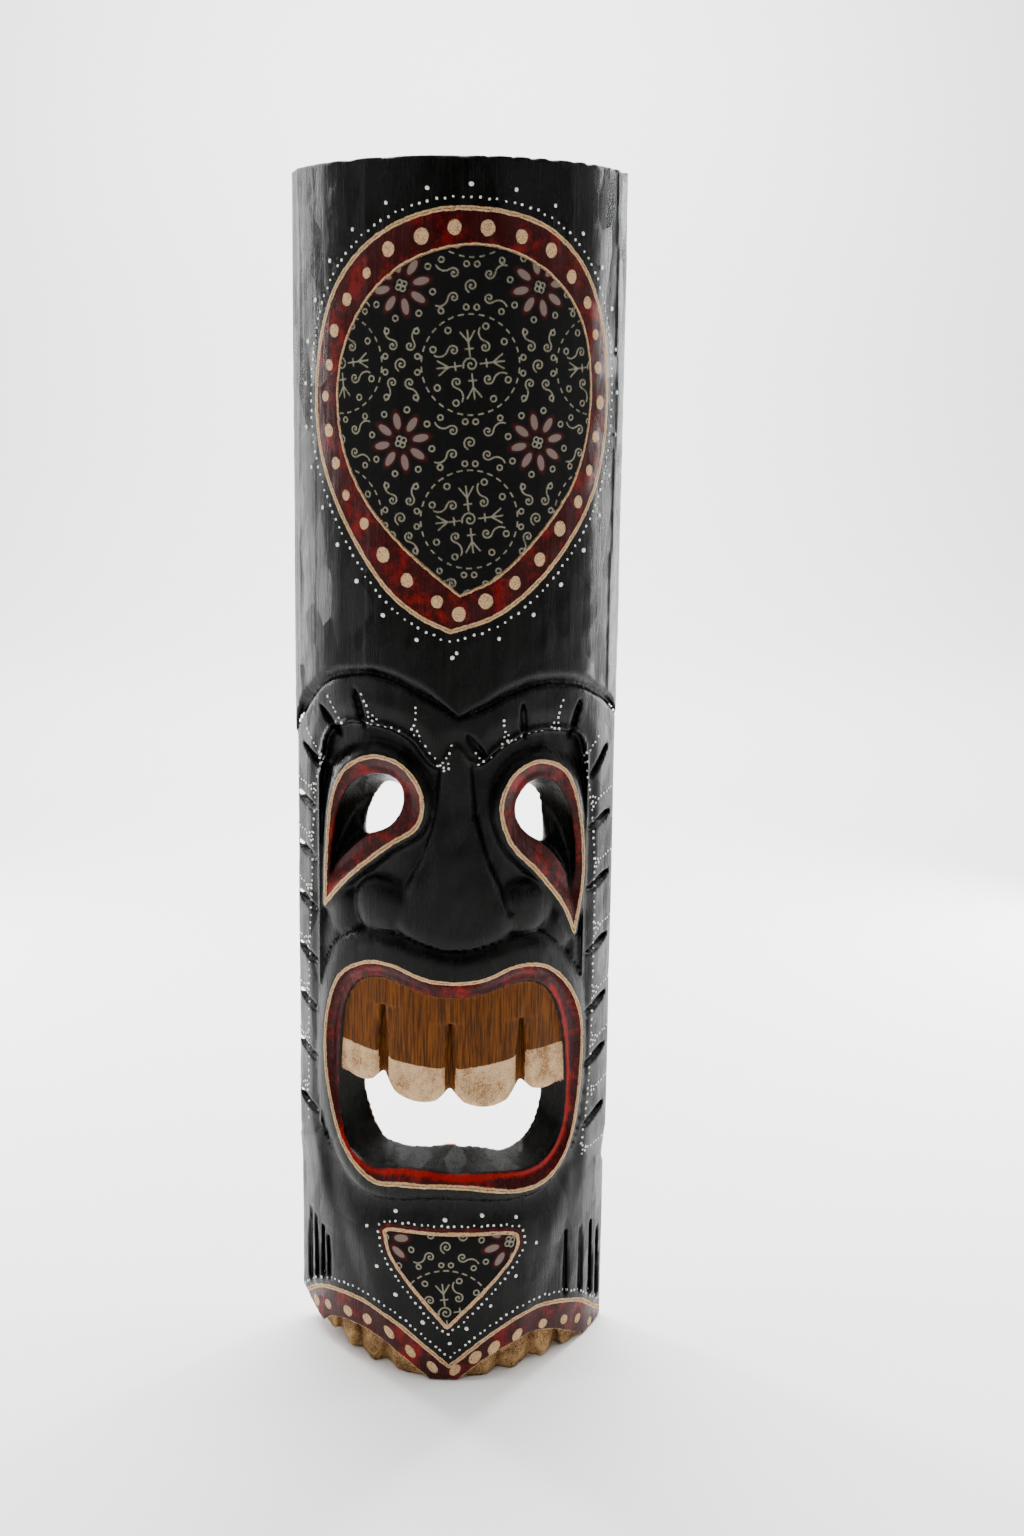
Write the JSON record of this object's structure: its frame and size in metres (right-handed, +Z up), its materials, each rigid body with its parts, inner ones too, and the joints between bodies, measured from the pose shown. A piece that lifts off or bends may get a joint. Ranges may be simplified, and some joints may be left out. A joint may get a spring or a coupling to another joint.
{
  "type": "tiki wall mask",
  "caption": "Tall half-log tiki mask, hollowed behind, with pierced eyes, open toothed mouth, printed cloth inlays and a back ring hanger.",
  "frame": {"origin": "middle of the box that the whole mask fills, on the flat foot that it stands on", "axes": "+Z up along the log, -Y out of the face, +Y out of the flat back, +X to the right of someone looking at the face"},
  "size_m": [0.274, 0.092, 1],
  "materials": {
    "painted_wood": "black satin paint over carved albesia wood, with red bands and bare wood lines",
    "printed_cloth": "black cotton with a pale wax-resist print",
    "strap_steel": "zinc plated",
    "ring_steel": "zinc plated wire"
  },
  "bodies": {
    "mask": {"mask_body": "painted_wood", "forehead_cloth": "printed_cloth", "chin_cloth": "printed_cloth", "hanger_strap": "strap_steel", "hanger_screws": "strap_steel"},
    "ring": {"hanger_ring": "ring_steel"}
  },
  "joints": [
    {"name": "ring_swing", "type": "hinge", "parent": "mask", "child": "ring", "pos_m": [0, 0.0419, 0.973], "axis": [1, 0, 0], "range_deg": [0, 180]}
  ]
}
